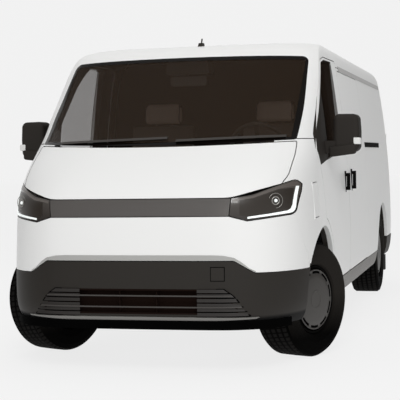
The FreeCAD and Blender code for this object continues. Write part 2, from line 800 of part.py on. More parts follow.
def make_front_subframe():
    beam = block(-380, 380, 130, 230, 250, 300)
    parts = [beam]
    for side in (1, -1):
        arm = prism(TOP, [
            (side * 330, -160, 20), (side * 690, -26, 60), (side * 778, -22, 14), (side * 778, 22, 14),
            (side * 690, 26, 60), (side * 330, 230, 20)], 205, 228)
        rail = block(min(side * 330, side * 395), max(side * 330, side * 395), -500, 232, 226, 300)
        parts += [arm, rail]
        for y in (-215, 195):
            parts.append(rod((side * 362, y, 290), (side * 362, y, floor_top - floor_thickness - seat_gap), 26))
    return joined(parts)


def make_front_struts():
    liner_reach = arch_radius - 12 - seat_gap
    top = tyre_radius + arch_lift + math.sqrt(liner_reach ** 2 - 74 ** 2)
    spring = disc((520, -50, 660), (0, 0, 1), 48, 170)
    damper = rod((520, -50, 228 + seat_gap), (520, -50, top), 24)
    return joined([spring, damper])


def make_body_frame():
    under = floor_top - floor_thickness - seat_gap
    doors_end = door_rear + swing_gap
    zones = [
        block(-far, far, nose_end, -300, bumper_bottom + 40, band_top - 8),
        block(-far, far, doors_end, tail_end, roof_seam - 30, roof_seam + 40),
        block(-far, far, 560, doors_end, bumper_bottom + 30, sill_seam),
        block(-far, far, doors_end, wheelbase - 460, bumper_bottom + 30, under),
        block(-far, far, wheelbase + 460, 4240, bumper_bottom + 40, under),
    ]
    for y0, y1 in ((doors_end, door_rear + 70), (slide_rear - 35, slide_rear + 45), (4150, 4240)):
        zones.append(block(-far, far, y0, y1, floor_top + seat_gap, roof_seam + 40))
    half = lining.common(block(0, far, -far, 2 * far, 0, roof_top)).common(joined(zones))
    half = clean(half.cut(front_arches))
    return clean(joined([half, mirrored(half)]))


def make_rear_axle():
    beam = rod((-640, wheelbase, tyre_radius), (640, wheelbase, tyre_radius), 48)
    parts = [beam]
    for side in (1, -1):
        stub = rod((side * 630, wheelbase, tyre_radius), (side * (half_track - 2.3), wheelbase, tyre_radius), 56)
        brake = disc((side * 735, wheelbase, tyre_radius), (1, 0, 0), 145, 26)
        arm = prism(SIDE, [
            (wheelbase - 620, 380, 30), (wheelbase, 300, 30), (wheelbase + 60, 400, 30),
            (wheelbase - 600, 450, 30)], min(side * 540, side * 600), max(side * 540, side * 600))
        seat = floor_top - floor_thickness - seat_gap
        spring = rod((side * 480, wheelbase + 10, 381), (side * 480, wheelbase + 10, seat), 55)
        parts += [stub, brake, arm, spring]
    return joined(parts)


def make_mudflap():
    seat = floor_top - floor_thickness - seat_gap
    return prism(FRONT, [(700, 150, 12), (930, 150, 12), (930, 296), (842, 296), (842, seat), (700, seat)],
                 wheelbase + 470, wheelbase + 478)


def make_antenna():
    foot = prism(SIDE, [(720, 2000), (800, 2000), (790, 2030, 8), (755, 2032, 10)], -16, 16)
    mast = rod((0, 765, 2020), (0, 790, 2062), 5)
    return joined([foot, mast]).cut(moved_body(0, 0, 0.3))


def make_inner_mirror():
    glass = prism(FRONT, [(-155, 1722, 20), (95, 1722, 20), (95, 1785, 20), (-155, 1785, 20)], 505, 530)
    stem = rod((-30, 515, 1770), (-30, 540, 1850), 10)
    console = prism(FRONT, [(-180, 1800, 12), (120, 1800, 12), (100, 1990), (-160, 1990)], 480, 640)
    return joined([glass, stem, console]).common(lining_room)


names = {}


def save(name, shape):
    solids = shape.Solids
    whole = Part.makeCompound(solids) if len(solids) > 1 else solids[0]
    whole = whole.copy()
    whole.translate(V(0, -middle, 0))
    names[name] = (len(solids), whole.isValid(), round(whole.Volume / 1e6, 2))
    whole.exportStep("parts/" + name + ".step")


wheel_side = {1: "left", -1: "right"}


def build():
    tyre = make_tyre()
    rim = make_rim()
    save("roof_panel", make_roof())
    save("windscreen", make_windscreen())
    save("bonnet", make_bonnet())
    save("grille_band", make_band())
    save("front_panel", make_front_panel())
    save("front_bumper", make_front_bumper())
    save("lower_grille", make_lower_grille())
    save("bulkhead", make_bulkhead())
    save("floor_pan", make_floor())
    save("dashboard", make_dashboard())
    save("battery_pack", make_battery())
    save("drive_unit", make_drive_unit())
    save("front_subframe", make_front_subframe())
    save("rear_axle", make_rear_axle())
    save("rear_bumper", make_rear_bumper())
    save("roof_antenna", make_antenna())
    save("inner_mirror", make_inner_mirror())
    save("steering_wheel", make_steering_wheel())
    save("charge_flap", make_charge_flap())
    save("wipers", make_wipers())
    save("front_fenders", make_fenders())
    save("body_frame", make_body_frame())
    upper, belt = make_rails()
    pairs = {
        "headlamps": make_lamps(),
        "side_panels": make_side_panel(),
        "sliding_doors": make_slide_door(),
        "tail_lamps": make_tail_lamp(),
        "sill_trims": make_sill(),
        "wheel_liners": make_liners(),
        "front_struts": make_front_struts(),
        "mudflaps": make_mudflap(),
        "roof_rails": upper,
        "belt_rails": belt,
        "slide_handles": make_handle(door_rear + 178, 990, 1120),
    }
    for name, shape in pairs.items():
        save(name, Part.makeCompound(both(shape)))
    save("seats", Part.makeCompound([make_seat(seat_x), make_seat(-seat_x)]))
    sided = {
        "front_door": make_front_door(),
        "door_glass": make_door_glass(),
        "door_mirror": make_mirror(),
        "door_handle": make_handle(door_rear - 164, 990, 1110),
        "rear_door": make_rear_door(),
    }
    for name, shape in sided.items():
        save(name + "_left", shape)
        save(name + "_right", mirrored(shape))
    for side in (1, -1):
        label = wheel_side[side]
        hub = make_knuckle() if side > 0 else mirrored(make_knuckle())
        save("knuckle_" + label, steered(hub, side))
        turned_rim = rim if side > 0 else mirrored(rim)
        front = (side * half_track, 0, tyre_radius)
        rear = (side * half_track, wheelbase, tyre_radius)
        save("front_tyre_" + label, steered(at(tyre, *front), side))
        save("front_wheel_" + label, steered(at(turned_rim, *front), side))
        save("rear_tyre_" + label, at(tyre, *rear))
        save("rear_wheel_" + label, at(turned_rim, *rear))


build()
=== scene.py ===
import bpy
import math
from mathutils import Matrix, Vector


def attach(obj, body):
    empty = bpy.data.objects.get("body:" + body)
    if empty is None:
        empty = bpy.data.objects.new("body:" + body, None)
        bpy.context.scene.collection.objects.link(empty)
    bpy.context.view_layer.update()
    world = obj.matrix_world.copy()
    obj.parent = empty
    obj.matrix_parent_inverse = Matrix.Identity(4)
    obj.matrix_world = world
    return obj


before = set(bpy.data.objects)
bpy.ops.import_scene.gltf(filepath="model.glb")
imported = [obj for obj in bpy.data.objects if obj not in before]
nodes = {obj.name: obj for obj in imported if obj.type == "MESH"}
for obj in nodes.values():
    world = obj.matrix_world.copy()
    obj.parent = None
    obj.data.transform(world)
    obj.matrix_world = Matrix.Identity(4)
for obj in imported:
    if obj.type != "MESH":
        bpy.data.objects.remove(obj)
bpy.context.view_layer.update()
FRONT_AXLE, WHEELBASE = -1.8144, 3.57
SIDES = ((1, "left"), (-1, "right"))

# Studio: a pale floor and backdrop of one tone, so that the van stands in soft even light.
# The floor glows as the backdrop does, which keeps the shadow under the van faint.
PALE = (0.862, 0.862, 0.862, 1)


class Wire:
    def __init__(self, tree, socket):
        self.tree = tree
        self.socket = socket

    def node(self, kind, settings=None, sockets=None, output=0):
        made = self.tree.nodes.new(kind)
        for name, value in (settings or {}).items():
            setattr(made, name, value)
        for name, value in (sockets or {}).items():
            if isinstance(value, Wire):
                self.tree.links.new(value.socket, made.inputs[name])
            else:
                made.inputs[name].default_value = value
        return Wire(self.tree, made.outputs[output])

    def sum(self, operation, first, second):
        return self.node("ShaderNodeMath", {"operation": operation}, {0: first, 1: second})

    def __add__(self, other):
        return self.sum("ADD", self, other)

    def __sub__(self, other):
        return self.sum("SUBTRACT", self, other)

    def __mul__(self, other):
        return self.sum("MULTIPLY", self, other)

    def __gt__(self, other):
        return self.sum("GREATER_THAN", self, other)

    def __lt__(self, other):
        return self.sum("LESS_THAN", self, other)

    def most(self, other):
        return self.sum("MAXIMUM", self, other)

    def size(self):
        return self.node("ShaderNodeMath", {"operation": "ABSOLUTE"}, {0: self})

    def wave(self, rate):
        return self.node("ShaderNodeMath", {"operation": "SINE"}, {0: self * rate})

    def axis(self, index):
        return self.node("ShaderNodeSeparateXYZ", {}, {"Vector": self}, index)

    def into(self, shader, name):
        self.tree.links.new(self.socket, shader.inputs[name])


def finish_of(name, colour, roughness, **sockets):
    material = bpy.data.materials.new(name)
    material.use_nodes = True
    shader = material.node_tree.nodes["Principled BSDF"]
    shader.inputs["Base Color"].default_value = (*colour, 1)
    shader.inputs["Roughness"].default_value = roughness
    for socket, value in sockets.items():
        shader.inputs[socket.replace("_", " ")].default_value = value
    place = Wire(material.node_tree, None).node("ShaderNodeTexCoord", output="Object")
    return material, shader, place


def dress(material, names):
    for name in names:
        mesh = nodes[name].data
        mesh.materials.clear()
        mesh.materials.append(material)


def grain(place, shader, scale, strength, distance):
    noise = place.node("ShaderNodeTexNoise", {}, {"Vector": place, "Scale": scale, "Detail": 3.0})
    bump = place.node("ShaderNodeBump", {}, {"Strength": strength, "Distance": distance, "Height": noise})
    bump.into(shader, "Normal")


def mixed(factor, first, second):
    first, second = [tone if isinstance(tone, Wire) else (*tone, 1) for tone in (first, second)]
    return factor.node("ShaderNodeMix", {"data_type": "RGBA"}, {"Factor": factor, 6: first, 7: second}, 2)


bpy.ops.object.select_all(action="DESELECT")
STUDIO_SIZE, BACKDROP_AWAY = 160, 60
bpy.ops.mesh.primitive_plane_add(size=STUDIO_SIZE, location=(0, 0, 0))
floor = bpy.context.object
floor.name = "studio_floor"
floor_finish, shader, place = finish_of("pale_floor", (0.12, 0.12, 0.12), 0.9, Specular_IOR_Level=0.0,
                                        Emission_Color=PALE, Emission_Strength=0.93)
floor.data.materials.append(floor_finish)
bpy.ops.mesh.primitive_plane_add(size=STUDIO_SIZE, location=(0, BACKDROP_AWAY, 0),
                                 rotation=(math.radians(90), 0, 0))
backdrop = bpy.context.object
backdrop.name = "studio_backdrop"
backdrop_finish, shader, place = finish_of("pale_backdrop", (0.0, 0.0, 0.0), 0.9, Specular_IOR_Level=0.0,
                                           Emission_Color=PALE, Emission_Strength=1.025)
backdrop.data.materials.append(backdrop_finish)

world = bpy.data.worlds.new("studio")
bpy.context.scene.world = world
world.use_nodes = True
world.node_tree.nodes["Background"].inputs["Color"].default_value = PALE
world.node_tree.nodes["Background"].inputs["Strength"].default_value = 0.5
bpy.context.scene.view_settings.view_transform = "Standard"


# Lights: one broad soft panel above the camera gives the white nose its even tone, and a
# weaker one over the roof lifts the upper faces.
def light_panel(name, place, aim, size, power):
    bpy.ops.object.light_add(type="AREA", location=place)
    lamp = bpy.context.object
    lamp.name = name
    lamp.data.shape = "RECTANGLE"
    lamp.data.size, lamp.data.size_y = size
    lamp.data.energy = power
    lamp.rotation_euler = (Vector(aim) - Vector(place)).to_track_quat("-Z", "Y").to_euler()
    return lamp


light_panel("front_light", (2.6, -10.8, 8.0), (0, -2.0, 1.0), (5.0, 4.0), 600)
top_light = light_panel("top_light", (0.0, -1.0, 8.5), (0, -1.0, 0.0), (5.0, 8.0), 100)
top_light.visible_glossy = False

# Flags: black cards stand on both sides of the van, out of the camera's sight. They keep the
# long side in soft shade and the far corner of the nose dark.
flag_finish, shader, place = finish_of("flag_black", (0.01, 0.01, 0.01), 1.0)


def flag(name, middle, heading, tall, long):
    bpy.ops.object.select_all(action="DESELECT")
    bpy.ops.mesh.primitive_plane_add(size=1, location=middle, rotation=(0, math.radians(90), math.radians(heading)))
    card = bpy.context.object
    card.name = name
    card.scale = (tall, long, 1.0)
    bpy.ops.object.transform_apply(location=False, rotation=False, scale=True)
    card.data.materials.append(flag_finish)
    card.visible_camera = False


flag("studio_flag", (4.6, 3.6, 2.0), 0, 6.0, 9.0)
flag("studio_far_flag", (-3.4, -4.6, 1.3), 25, 2.6, 4.0)

# Camera: stands a little left of the van's nose at chest height, with a long lens. It looks down
# by two degrees and leans by one.
YAW, PITCH, ROLL = math.radians(14.23), math.radians(-2.01), math.radians(-1.05)
look = Vector((-math.sin(YAW) * math.cos(PITCH), math.cos(YAW) * math.cos(PITCH), math.sin(PITCH)))
level_right = Vector((math.cos(YAW), math.sin(YAW), 0))
level_up = level_right.cross(look)
right = level_right * math.cos(ROLL) + level_up * math.sin(ROLL)
up = level_up * math.cos(ROLL) - level_right * math.sin(ROLL)
camera_data = bpy.data.cameras.new("camera")
camera = bpy.data.objects.new("camera", camera_data)
bpy.context.scene.collection.objects.link(camera)
turn = Matrix((right, up, -look)).transposed()
STANDPOINT, SENSOR, LENS = (2.064, -9.3064, 1.240), 36.0, 109.84
camera.matrix_world = Matrix.Translation(STANDPOINT) @ turn.to_4x4()
camera_data.sensor_width = SENSOR
camera_data.lens = LENS
bpy.context.scene.camera = camera

# Body panels: pressed steel, welded and bolted to the frame and sprayed gloss white as one. The
# lacquer has a faint ripple. Faces that look inwards from the cab are left in dark trim, and the
# inner half of each wheel arch's edge is darkened in the same colour as painted shade.
WHITE, TRIM_AND_SHADE_DARK, PANEL_CORE = (0.86, 0.86, 0.85), (0.026, 0.021, 0.017), (0, 0, 1.2)
CAB_LENGTH, ARCH_MIDDLE, ARCH_RADIUS, ARCH_EDGE = 1.45, 0.3975, 0.408, 0.930


def white_finish(name):
    material, shader, place = finish_of(name, WHITE, 0.36, Coat_Weight=0.08, Coat_Roughness=0.08,
                                        Specular_IOR_Level=0.14)
    grain(place, shader, 9.0, 0.04, 0.002)
    facing = place.node("ShaderNodeTexCoord", output="Normal")
    outward = place.node("ShaderNodeVectorMath", {"operation": "SUBTRACT"}, {0: place, 1: PANEL_CORE})
    turned_out = place.node("ShaderNodeVectorMath", {"operation": "DOT_PRODUCT"}, {0: outward, 1: facing}, "Value")
    return material, shader, place, turned_out < 0.0


paint, shader, place, turned_in = white_finish("white_paint")
along = place.axis(1)
lining = turned_in * (along < FRONT_AXLE + CAB_LENGTH)
ahead = (along - (FRONT_AXLE + WHEELBASE / 2)).size() - WHEELBASE / 2
above = place.axis(2) - ARCH_MIDDLE
# Painted shade: the inner half of each arch's edge takes the dark colour, though the panel there is white.
arch_painted_shade = ((ahead * ahead + above * above) < ARCH_RADIUS ** 2) * (place.axis(0).size() < ARCH_EDGE)
mixed(lining.most(arch_painted_shade), WHITE, TRIM_AND_SHADE_DARK).into(shader, "Base Color")
dress(paint, ["roof_panel", "bonnet", "front_panel", "front_fenders", "side_panels", "sliding_doors", "charge_flap",
              "rear_door_left", "rear_door_right"])

# Cab doors: steel pressings hung on the front pillars, in the same paint outside. Dark moulded
# trim covers their inner faces and the window's inner edge above the waist.
TRIM_EDGE, TRIM_LEAN, WAIST = 1.046, 0.104, 1.195
door_paint, shader, place, turned_in = white_finish("door_paint")
height = place.axis(2)
behind_skin = ((place.axis(0).size() + height * TRIM_LEAN) < TRIM_EDGE) * (height > WAIST)
mixed(behind_skin.most(turned_in), WHITE, TRIM_AND_SHADE_DARK).into(shader, "Base Color")
dress(door_paint, ["front_door_left", "front_door_right"])

# Windscreen: tinted laminated glass, bonded into its frame. A band of black print round the edge
# hides the bead of glue.
EDGE_SIDE, EDGE_LOW, EDGE_HIGH, LOW_BOW, HIGH_BOW = 0.786, 1.334, 1.878, 0.031, 0.025
TINT = (0.044, 0.029, 0.019)
glass, shader, place = finish_of("tinted_glass", TINT, 0.03, Alpha=0.30, IOR=1.25, Specular_IOR_Level=0.28)
sideways, height = place.axis(0), place.axis(2)
bow = sideways * sideways
low_edge = (height - bow * LOW_BOW) < EDGE_LOW
high_edge = (height + bow * HIGH_BOW) > EDGE_HIGH
print_edge = low_edge.most(high_edge).most(sideways.size() > EDGE_SIDE)
tint = place.node("ShaderNodeTexNoise", {}, {"Vector": place, "Scale": 1.5}) * 0.01 + 0.295
tint.most(print_edge).into(shader, "Alpha")
mixed(print_edge, TINT, (0.004, 0.003, 0.0025)).into(shader, "Base Color")
dress(glass, ["windscreen"])

# Door windows: toughened glass of a lighter tint, held in rubber channels. It lets about half of
# the light through.
side_glass, shader, place = finish_of("door_glass", (0.034, 0.024, 0.018), 0.04, Alpha=0.34, IOR=1.12,
                                      Specular_IOR_Level=0.0)
tint = place.node("ShaderNodeTexNoise", {}, {"Vector": place, "Scale": 1.5}) * 0.01 + 0.335
tint.into(shader, "Alpha")
dress(side_glass, ["door_glass_left", "door_glass_right"])

# Rear bumper, antenna, mirrors and handles: moulded in dark grained plastic, left unpainted and
# clipped or screwed on from inside. The mirrors are a shade paler and the handles darker.
TRIM_GREY, FINE_GRAIN = (0.018, 0.015, 0.012), (900.0, 0.25, 0.0004)
trim, shader, place = finish_of("dark_plastic", TRIM_GREY, 0.6, Specular_IOR_Level=0.3)
grain(place, shader, *FINE_GRAIN)
dress(trim, ["rear_bumper", "roof_antenna"])
mirror_plastic, shader, place = finish_of("mirror_plastic", (0.029, 0.0255, 0.0225), 0.7, Specular_IOR_Level=0.08)
grain(place, shader, *FINE_GRAIN)
dress(mirror_plastic, ["door_mirror_left", "door_mirror_right"])
handle_black, shader, place = finish_of("handle_black", (0.003, 0.0028, 0.0025), 0.7, Specular_IOR_Level=0.05)
grain(place, shader, *FINE_GRAIN)
dress(handle_black, ["slide_handles", "door_handle_left", "door_handle_right"])

# Bumper lip: a slim satin grey strip, clipped under the lower grille from corner to corner. This
# section also has the steps that every thin piece on the body shares: a flat grid in front of
# the nose is pressed onto the solid behind it and given its thickness.
START_GAP, SOFT_ANGLE = 1.0, math.radians(35)


def pressed(piece, target):
    wrap = piece.modifiers.new("press", "SHRINKWRAP")
    wrap.target = nodes[target]
    wrap.wrap_method = "PROJECT"
    wrap.use_project_x, wrap.use_project_y, wrap.use_project_z = False, True, False
    wrap.use_positive_direction, wrap.use_negative_direction = True, False
    bpy.ops.object.modifier_apply(modifier="press")


def thickened(piece, depth):
    plate = piece.modifiers.new("thickness", "SOLIDIFY")
    plate.thickness = depth
    plate.offset = 0.0
    bpy.ops.object.modifier_apply(modifier="thickness")
    bpy.ops.object.mode_set(mode="EDIT")
    bpy.ops.mesh.select_all(action="SELECT")
    bpy.ops.mesh.normals_make_consistent(inside=False)
    bpy.ops.object.mode_set(mode="OBJECT")
    bpy.ops.object.shade_smooth_by_angle(angle=SOFT_ANGLE)


def between(line, share):
    spans = [math.dist(a, b) for a, b in zip(line, line[1:])]
    rest = share * sum(spans)
    for span, a, b in zip(spans, line, line[1:]):
        if rest <= span or b == line[-1]:
            part = min(1.0, rest / span)
            return [p + (q - p) * part for p, q in zip(a, b)]
        rest -= span


def laid_on(name, target, low_line, high_line, columns, rows, lift, depth, side=1):
    bpy.ops.object.select_all(action="DESELECT")
    bpy.ops.mesh.primitive_grid_add(x_subdivisions=columns, y_subdivisions=rows, size=2)
    piece = bpy.context.object
    piece.name = name
    for corner in piece.data.vertices:
        along, across = (corner.co.x + 1) / 2, (corner.co.y + 1) / 2
        low, high = between(low_line, along), between(high_line, along)
        x, z = [p + (q - p) * across for p, q in zip(low, high)]
        corner.co = (x * side, FRONT_AXLE - START_GAP, z)
    pressed(piece, target)
    for corner in piece.data.vertices:
        corner.co.y -= lift
    thickened(piece, depth)
    return piece


def finished(piece, material, body):
    piece.data.materials.append(material)
    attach(piece, body)


satin, shader, place = finish_of("satin_grey", (0.17, 0.165, 0.155), 0.45)
grain(place, shader, 300.0, 0.08, 0.0003)
lip = laid_on("bumper_lip", "front_bumper",
              [(-0.690, 0.326), (-0.45, 0.315), (0.45, 0.317), (0.672, 0.324)],
              [(-0.695, 0.331), (-0.45, 0.334), (0.45, 0.334), (0.690, 0.332)],
              columns=60, rows=2, lift=0.004, depth=0.008)
finished(lip, satin, "body")

# Panel fold: the white nose panel turns inwards above the bumper to stiffen its edge. The turn
# is not modelled: a thin grey strip laid on the panel, tapering out at both corners, is its painted shade.
fold_shade_paint, shader, place = finish_of("shaded_paint", (0.40, 0.40, 0.385), 0.5)
grain(place, shader, 9.0, 0.04, 0.002)
# Painted shade: the grey strip stands for the shaded turn of the panel.
fold = laid_on("panel_fold_shade", "front_panel",
               [(-0.672, 0.588), (-0.560, 0.656), (0.560, 0.656), (0.672, 0.588)],
               [(-0.676, 0.592), (-0.640, 0.611), (-0.600, 0.646), (-0.560, 0.671), (-0.50, 0.683),
                (-0.44, 0.686), (0.44, 0.686), (0.50, 0.683), (0.560, 0.671), (0.600, 0.646),
                (0.640, 0.611), (0.676, 0.592)],
               columns=70, rows=2, lift=0.001, depth=0.002)
finished(fold, fold_shade_paint, "body")

# Tow cover: a square plastic lid snapped into the bumper over the tow eye's thread, with a dark
# joint all round it.
joint_and_shade_black, shader, place = finish_of("joint_and_shade_black", (0.001, 0.001, 0.001), 0.9, Specular_IOR_Level=0.02)
grain(place, shader, 300.0, 0.08, 0.0003)
cover_joint = laid_on("tow_cover_joint", "front_bumper", [(0.427, 0.539), (0.509, 0.539)],
                      [(0.427, 0.620), (0.509, 0.620)], columns=6, rows=6, lift=0.001, depth=0.002)
finished(cover_joint, joint_and_shade_black, "body")
lid = laid_on("tow_cover", "front_bumper", [(0.431, 0.543), (0.505, 0.543)],
              [(0.431, 0.616), (0.505, 0.616)], columns=6, rows=6, lift=0.0025, depth=0.002)
finished(lid, trim, "body")

# Cooler: the finned aluminium radiator is bolted to the frame behind the lower grille. Its face,
# and the lattice of the grille, take a near-black brown that is the painted shade of the deep opening.
cooler = laid_on("radiator", "body_frame", [(-0.612, 0.340), (0.612, 0.340)], [(-0.50, 0.502), (0.50, 0.502)],
                 columns=40, rows=6, lift=0.010, depth=0.006)
# Painted shade: the near-black brown stands for the shade inside the grille opening.
cooler_shade_black, shader, place = finish_of("radiator_shade_black", (0.0075, 0.0028, 0.0016), 0.9, Specular_IOR_Level=0.1)
grain(place, shader, 400.0, 0.3, 0.001)
finished(cooler, cooler_shade_black, "body")
dress(cooler_shade_black, ["lower_grille"])

# Lower grille: black louvres at both sides of two level bars, clipped in front of the opening.
# Each strip takes its curve from the bumper below and above the opening and bridges between.
BUMPER_BELOW, BUMPER_ABOVE = 0.338, 0.512
GRILLE_LOW, GRILLE_HIGH, HALF_AT_FOOT, HALF_LOSS = 0.338, 0.497, 0.650, 0.115
CORNER_START, CORNER_CUT = 0.75, 0.030


def bridged(name, starts, ends, low, high, columns, lift, tilt, depth):
    bpy.ops.object.select_all(action="DESELECT")
    bpy.ops.mesh.primitive_grid_add(x_subdivisions=columns, y_subdivisions=1, size=2)
    piece = bpy.context.object
    piece.name = name
    points = piece.data.vertices
    for corner in points:
        along, top = (corner.co.x + 1) / 2, corner.co.y > 0
        x = starts[top] + (ends[top] - starts[top]) * along
        corner.co = (x, FRONT_AXLE - START_GAP, BUMPER_ABOVE if top else BUMPER_BELOW)
    pressed(piece, "front_bumper")
    for foot, head in zip(points[:columns + 1], points[columns + 1:]):
        foot_y, head_y = foot.co.y, head.co.y
        for corner, z, shift in ((foot, low, 0.0), (head, high, tilt)):
            share = (z - BUMPER_BELOW) / (BUMPER_ABOVE - BUMPER_BELOW)
            corner.co.y = foot_y + (head_y - foot_y) * share - lift + shift
            corner.co.z = z
    thickened(piece, depth)
    return piece


def grille_edge(z):
    share = (z - GRILLE_LOW) / (GRILLE_HIGH - GRILLE_LOW)
    corner = max(0.0, share - CORNER_START) / (1.0 - CORNER_START)
    return HALF_AT_FOOT - HALF_LOSS * share - CORNER_CUT * corner


LOUVRES, CENTRE_EDGE, OPENING_SHADE_START, END_GAP, BLADE_START, BLADE_END = 6, 0.350, 0.46, 0.009, 0.14, 0.86
HALF_BAR = 0.004
louvre_grey, shader, place = finish_of("louvre_plastic", (0.014, 0.011, 0.009), 0.6)
grain(place, shader, *FINE_GRAIN)
pitch = (GRILLE_HIGH - GRILLE_LOW) / LOUVRES
for side, label in SIDES:
    for row in range(LOUVRES):
        base, head = GRILLE_LOW + pitch * row, GRILLE_LOW + pitch * (row + 1)
        # Painted shade: a black strip laid on the bumper behind the outer louvres widens the dark opening.
        recess_shade = bridged("grille_opening_shade_%d_%s" % (row + 1, label), [side * OPENING_SHADE_START] * 2,
                         (side * grille_edge(base), side * grille_edge(head)), base, head,
                         columns=30, lift=0.006, tilt=0.0, depth=0.001)
        finished(recess_shade, joint_and_shade_black, "body")
        low = GRILLE_LOW + pitch * (row + BLADE_START)
        high = GRILLE_LOW + pitch * (row + BLADE_END)
        strip = bridged("louvre_%d_%s" % (row + 1, label), [side * CENTRE_EDGE] * 2,
                        (side * (grille_edge(low) - END_GAP), side * (grille_edge(high) - END_GAP)),
                        low, high, columns=24, lift=0.009, tilt=0.002, depth=0.0015)
        finished(strip, louvre_grey, "body")
bar_grey, shader, place = finish_of("grille_bar", (0.045, 0.040, 0.036), 0.5)
grain(place, shader, *FINE_GRAIN)
for label, middle in (("lower", 0.392), ("out_of_painted_shade", 0.456)):
    low, high = middle - HALF_BAR, middle + HALF_BAR
    low_end, high_end = grille_edge(low) - END_GAP, grille_edge(high) - END_GAP
    bar = bridged("grille_bar_" + label, (-low_end, -high_end), (low_end, high_end), low, high,
                  columns=60, lift=0.012, tilt=0.0, depth=0.003)
    finished(bar, bar_grey, "body")

# Air dam: a black rubber strip, riveted under the bumper lip, that guides the wind below the
# floor and gives way at kerbs.
HALF_DAM, DAM_LOW, DAM_HIGH = 0.84, 0.262, 0.313
dam = bridged("air_dam", [-HALF_DAM] * 2, [HALF_DAM] * 2, DAM_LOW, DAM_HIGH,
              columns=80, lift=0.002, tilt=0.0, depth=0.004)
finished(dam, joint_and_shade_black, "body")

# Wipers: painted steel arms with sprung rubber blades, parked along the foot of the windscreen.
# They are a shade paler than the glass behind them.
wiper_finish, shader, place = finish_of("wiper_paint", (0.035, 0.030, 0.026), 0.6)
grain(place, shader, 300.0, 0.08, 0.0003)
dress(wiper_finish, ["wipers"])

# Front bumper and arch liners: mouldings of the same grained plastic, clipped to the frame. The
# bumper's lower edge, where it turns under, is painted near black as painted shade.
TURN_LOW, TURN_HIGH = 0.322, 0.34
bumper_finish, shader, place = finish_of("bumper_plastic", TRIM_GREY, 0.6, Specular_IOR_Level=0.3)
height = place.axis(2)
# Painted shade: below the turn the bumper's colour drops to near black.
out_of_painted_shade = height.node("ShaderNodeMapRange", {}, {"Value": height, "From Min": TURN_LOW, "From Max": TURN_HIGH})
mixed(out_of_painted_shade, (0.0012, 0.0010, 0.0009), TRIM_GREY).into(shader, "Base Color")
(out_of_painted_shade * -0.25 + 0.85).into(shader, "Roughness")
dress(bumper_finish, ["front_bumper"])
liner_finish, shader, place = finish_of("liner_black", (0.0025, 0.0022, 0.002), 0.9, Specular_IOR_Level=0.1)
grain(place, shader, 700.0, 0.3, 0.0006)
dress(liner_finish, ["wheel_liners"])

# Sills: grey plastic mouldings that guard the lower edge of the body between the wheels. Fine
# ribs cross them, with painted shade darker in the grooves and painted light paler on the rib tops.
SILL_RIBS = 190.0
sill, shader, place = finish_of("grey_sill", (0.27, 0.26, 0.25), 0.6)
ribs = place.axis(1).wave(SILL_RIBS)
bump = ribs.node("ShaderNodeBump", {}, {"Strength": 0.8, "Distance": 0.004, "Height": ribs})
bump.into(shader, "Normal")
# Painted shade and light: the colour follows the ribs, darker in the grooves and paler on the tops.
mixed(ribs * 0.5 + 0.5, (0.19, 0.18, 0.17), (0.33, 0.32, 0.31)).into(shader, "Base Color")
dress(sill, ["sill_trims"])

# Rails: anodised strips seated on the body along the roof, and black ones along the waist in
# which the sliding doors run.
rail, shader, place = finish_of("grey_rail", (0.42, 0.41, 0.40), 0.4)
grain(place, shader, 300.0, 0.05, 0.0003)
dress(rail, ["roof_rails"])
dark_rail, shader, place = finish_of("dark_rail", (0.006, 0.0055, 0.005), 0.8, Specular_IOR_Level=0.02)
grain(place, shader, 300.0, 0.05, 0.0003)
dress(dark_rail, ["belt_rails"])

# Front band: one plastic moulding clipped in from lamp to lamp, where other vans have a grille.
# Fine level lines run along its face, with painted shade darkening the colour between them.
BAND_LINES = 1150.0
band, shader, place = finish_of("band_plastic", (0.075, 0.068, 0.062), 0.42)
lines = place.axis(2).wave(BAND_LINES)
bump = lines.node("ShaderNodeBump", {}, {"Strength": 0.5, "Distance": 0.0008, "Height": lines})
bump.into(shader, "Normal")
# Painted shade: the colour follows the lines' bump, darker in their grooves.
mixed(lines * 0.5 + 0.5, (0.060, 0.054, 0.050), (0.105, 0.096, 0.090)).into(shader, "Base Color")
dress(band, ["grille_band"])

# Headlamps: a clear polycarbonate cover sealed over a dark housing, seen from outside as one deep
# grey body. Painted light makes it paler towards its top.
LAMP_FOOT, LAMP_FADE = 0.88, 4.5
lamp, shader, place = finish_of("lamp_housing", (0.07, 0.062, 0.055), 0.24, Coat_Weight=0.3)
# Painted light: the colour pales from the lamp's foot to its top.
mixed((place.axis(2) - LAMP_FOOT) * LAMP_FADE, (0.035, 0.030, 0.027), (0.11, 0.098, 0.088)).into(shader, "Base Color")
dress(lamp, ["headlamps"])

